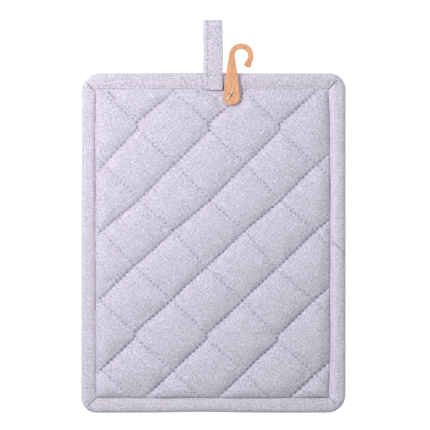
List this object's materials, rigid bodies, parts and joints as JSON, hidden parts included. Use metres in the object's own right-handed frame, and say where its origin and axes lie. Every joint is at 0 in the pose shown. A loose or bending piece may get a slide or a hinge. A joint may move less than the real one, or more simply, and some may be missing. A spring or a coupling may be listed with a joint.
{
  "type": "pot holder",
  "caption": "Rectangular pot holder in diamond-quilted cotton with a bound edge, a folded hanging loop at the top and a small crook-shaped leather hook tacked beside it.",
  "frame": {"origin": "middle of the bounding box on the surface that the back lies on", "axes": "+Y towards the hanging loop, +X to the right seen from the front, +Z out of the quilted front"},
  "size_m": [0.2, 0.2978, 0.011],
  "materials": {
    "panel_cloth": "heathered lilac-grey cotton, plain weave, quilted",
    "binding_cloth": "the same cotton cut on the bias",
    "loop_cloth": "the same cotton, folded tape with one stitched edge",
    "hook_leather": "natural tan leather with pale cut edges",
    "tack_thread": "pale satin"
  },
  "bodies": {
    "root": {"quilted_panel": "panel_cloth", "binding": "binding_cloth", "hanging_loop": "loop_cloth", "leather_hook": "hook_leather", "hook_tack": "tack_thread"}
  },
  "joints": []
}
